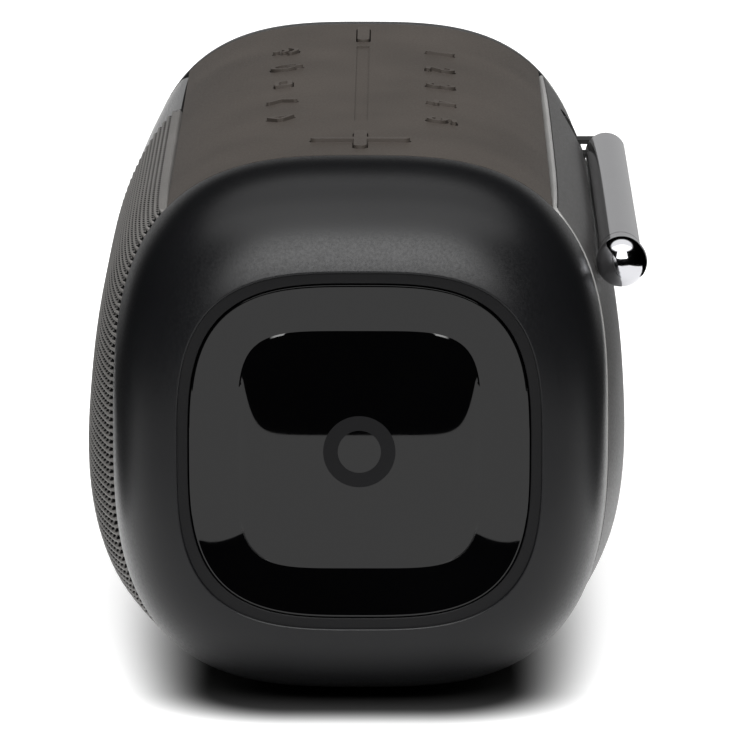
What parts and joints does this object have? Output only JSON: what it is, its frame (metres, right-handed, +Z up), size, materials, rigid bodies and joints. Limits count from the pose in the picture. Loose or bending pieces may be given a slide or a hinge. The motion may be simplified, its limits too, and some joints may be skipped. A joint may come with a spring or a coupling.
{
  "type": "portable radio speaker",
  "caption": "Portable waterproof radio speaker: squared tube body, domed grille, rubber top keys, gloss passive radiator in each end, folding telescopic antenna behind.",
  "frame": {"origin": "on the rest plane under the foot, midway along and across the body", "axes": "+X along the body towards the right end, -Y towards the front grille, +Z up"},
  "size_m": [0.173, 0.0826, 0.0804],
  "materials": {
    "cabinet": "moulded, matte",
    "seal": "soft gasket",
    "grille": "perforated steel, satin paint",
    "window": "smoked, gloss",
    "display": "display panel",
    "keypad": "fine matte",
    "key": "fine matte, raised symbols",
    "carrier": "moulded",
    "circuit": "flexible film with steel domes",
    "cover": "moulded, fine texture",
    "trim": "satin bead",
    "foot": "grooved rubber",
    "bell": "soft matte",
    "screw": "zinc plated",
    "basket": "black powder coat",
    "steel": "zinc plated",
    "magnet": "sintered ferrite",
    "battery": "shrink sleeve",
    "board": "solder mask",
    "lead": "insulated wire",
    "surround": "matte moulded rubber",
    "spider": "impregnated cloth",
    "plate": "piano gloss",
    "cone": "pressed cone",
    "coil": "lacquered winding",
    "flap": "matte",
    "mount": "satin black",
    "antenna": "polished"
  },
  "bodies": {
    "body": {"cabinet_front": "cabinet", "cabinet_rear": "cabinet", "cabinet_seal": "seal", "front_grille": "grille", "display_window": "window", "display_module": "display", "top_skin": "keypad", "keypad_carrier": "carrier", "key_circuit": "circuit", "rear_cover": "cover", "rear_trim": "trim", "base_cover": "cover", "base_foot": "foot", "bell_right": "bell", "bell_left": "bell", "end_frame_right": "cabinet", "end_frame_left": "cabinet", "screws": "screw", "driver_basket": "basket", "driver_top_plate": "steel", "driver_magnet": "magnet", "driver_yoke": "steel", "battery": "battery", "battery_holder": "cabinet", "main_board": "board", "usb_port": "steel", "leads": "lead", "antenna_bush": "cabinet", "radiator_surround_right": "surround", "radiator_surround_left": "surround", "driver_surround": "surround", "driver_spider": "spider"},
    "radiator_right": {"radiator_plate_right": "plate", "radiator_weight_right": "steel"},
    "radiator_left": {"radiator_plate_left": "plate", "radiator_weight_left": "steel"},
    "driver_motion": {"driver_cone": "cone", "driver_dust_cap": "cone", "driver_voice_coil": "coil"},
    "port_flap": {"port_flap": "flap"},
    "antenna_base": {"antenna_swivel": "mount", "antenna_pin": "antenna"},
    "antenna_section_1": {"antenna_tube_1": "antenna"},
    "antenna_section_2": {"antenna_tube_2": "antenna"},
    "antenna_section_3": {"antenna_tube_3": "antenna"},
    "antenna_section_4": {"antenna_tube_4": "antenna"},
    "antenna_section_5": {"antenna_rod": "antenna", "antenna_tip": "antenna"},
    "key_preset_1": {"key_preset_1": "key"},
    "key_preset_2": {"key_preset_2": "key"},
    "key_preset_3": {"key_preset_3": "key"},
    "key_preset_4": {"key_preset_4": "key"},
    "key_preset_5": {"key_preset_5": "key"},
    "key_wireless": {"key_wireless": "key"},
    "key_power": {"key_power": "key"},
    "key_source": {"key_source": "key"},
    "key_back": {"key_back": "key"},
    "key_play": {"key_play": "key"},
    "key_volume_up": {"key_volume_up": "key"},
    "key_volume_down": {"key_volume_down": "key"}
  },
  "joints": [
    {"name": "radiator_right_travel", "type": "slide", "parent": "body", "child": "radiator_right", "axis": [1, 0, 0], "range_m": [-0.0025, 0.0025], "stiffness_N_per_m": 900, "deforming": ["radiator_surround_right"]},
    {"name": "radiator_left_travel", "type": "slide", "parent": "body", "child": "radiator_left", "axis": [-1, 0, 0], "range_m": [-0.0025, 0.0025], "stiffness_N_per_m": 900, "deforming": ["radiator_surround_left"]},
    {"name": "driver_travel", "type": "slide", "parent": "body", "child": "driver_motion", "axis": [0, -1, 0], "range_m": [-0.0015, 0.0015], "stiffness_N_per_m": 1200, "deforming": ["driver_surround", "driver_spider"]},
    {"name": "port_flap_hinge", "type": "hinge", "parent": "body", "child": "port_flap", "pos_m": [-0.0204, 0.03883, 0.028], "axis": [0, 0.0891, 0.996], "range_deg": [0, 80], "stiffness_Nm_per_rad": 0.002},
    {"name": "antenna_swivel_turn", "type": "hinge", "parent": "body", "child": "antenna_base", "pos_m": [-0.0485, 0.031, 0.0629], "axis": [0, -1, 0], "range_deg": [0, 180]},
    {"name": "antenna_tilt", "type": "hinge", "parent": "antenna_base", "child": "antenna_section_1", "pos_m": [-0.0485, 0.0383, 0.0629], "axis": [0, 0, 1], "range_deg": [0, 90]},
    {"name": "antenna_draw_1", "type": "slide", "parent": "antenna_section_1", "child": "antenna_section_2", "axis": [1, 0, 0], "range_m": [0, 0.084]},
    {"name": "antenna_draw_2", "type": "slide", "parent": "antenna_section_2", "child": "antenna_section_3", "axis": [1, 0, 0], "range_m": [0, 0.084]},
    {"name": "antenna_draw_3", "type": "slide", "parent": "antenna_section_3", "child": "antenna_section_4", "axis": [1, 0, 0], "range_m": [0, 0.084]},
    {"name": "antenna_draw_4", "type": "slide", "parent": "antenna_section_4", "child": "antenna_section_5", "axis": [1, 0, 0], "range_m": [0, 0.084]},
    {"name": "key_preset_1_press", "type": "slide", "parent": "body", "child": "key_preset_1", "axis": [0, -0.1257, -0.9921], "range_m": [0, 0.0004], "stiffness_N_per_m": 1500},
    {"name": "key_preset_2_press", "type": "slide", "parent": "body", "child": "key_preset_2", "axis": [0, -0.1257, -0.9921], "range_m": [0, 0.0004], "stiffness_N_per_m": 1500},
    {"name": "key_preset_3_press", "type": "slide", "parent": "body", "child": "key_preset_3", "axis": [0, -0.1257, -0.9921], "range_m": [0, 0.0004], "stiffness_N_per_m": 1500},
    {"name": "key_preset_4_press", "type": "slide", "parent": "body", "child": "key_preset_4", "axis": [0, -0.1257, -0.9921], "range_m": [0, 0.0004], "stiffness_N_per_m": 1500},
    {"name": "key_preset_5_press", "type": "slide", "parent": "body", "child": "key_preset_5", "axis": [0, -0.1257, -0.9921], "range_m": [0, 0.0004], "stiffness_N_per_m": 1500},
    {"name": "key_wireless_press", "type": "slide", "parent": "body", "child": "key_wireless", "axis": [0, 0.1257, -0.9921], "range_m": [0, 0.0004], "stiffness_N_per_m": 1500},
    {"name": "key_power_press", "type": "slide", "parent": "body", "child": "key_power", "axis": [0, 0.1257, -0.9921], "range_m": [0, 0.0004], "stiffness_N_per_m": 1500},
    {"name": "key_source_press", "type": "slide", "parent": "body", "child": "key_source", "axis": [0, 0.1257, -0.9921], "range_m": [0, 0.0004], "stiffness_N_per_m": 1500},
    {"name": "key_back_press", "type": "slide", "parent": "body", "child": "key_back", "axis": [0, 0.1257, -0.9921], "range_m": [0, 0.0004], "stiffness_N_per_m": 1500},
    {"name": "key_play_press", "type": "slide", "parent": "body", "child": "key_play", "axis": [0, 0.1257, -0.9921], "range_m": [0, 0.0004], "stiffness_N_per_m": 1500},
    {"name": "key_volume_up_press", "type": "slide", "parent": "body", "child": "key_volume_up", "axis": [0, 0, -1], "range_m": [0, 0.0004], "stiffness_N_per_m": 1500},
    {"name": "key_volume_down_press", "type": "slide", "parent": "body", "child": "key_volume_down", "axis": [0, 0, -1], "range_m": [0, 0.0004], "stiffness_N_per_m": 1500}
  ]
}
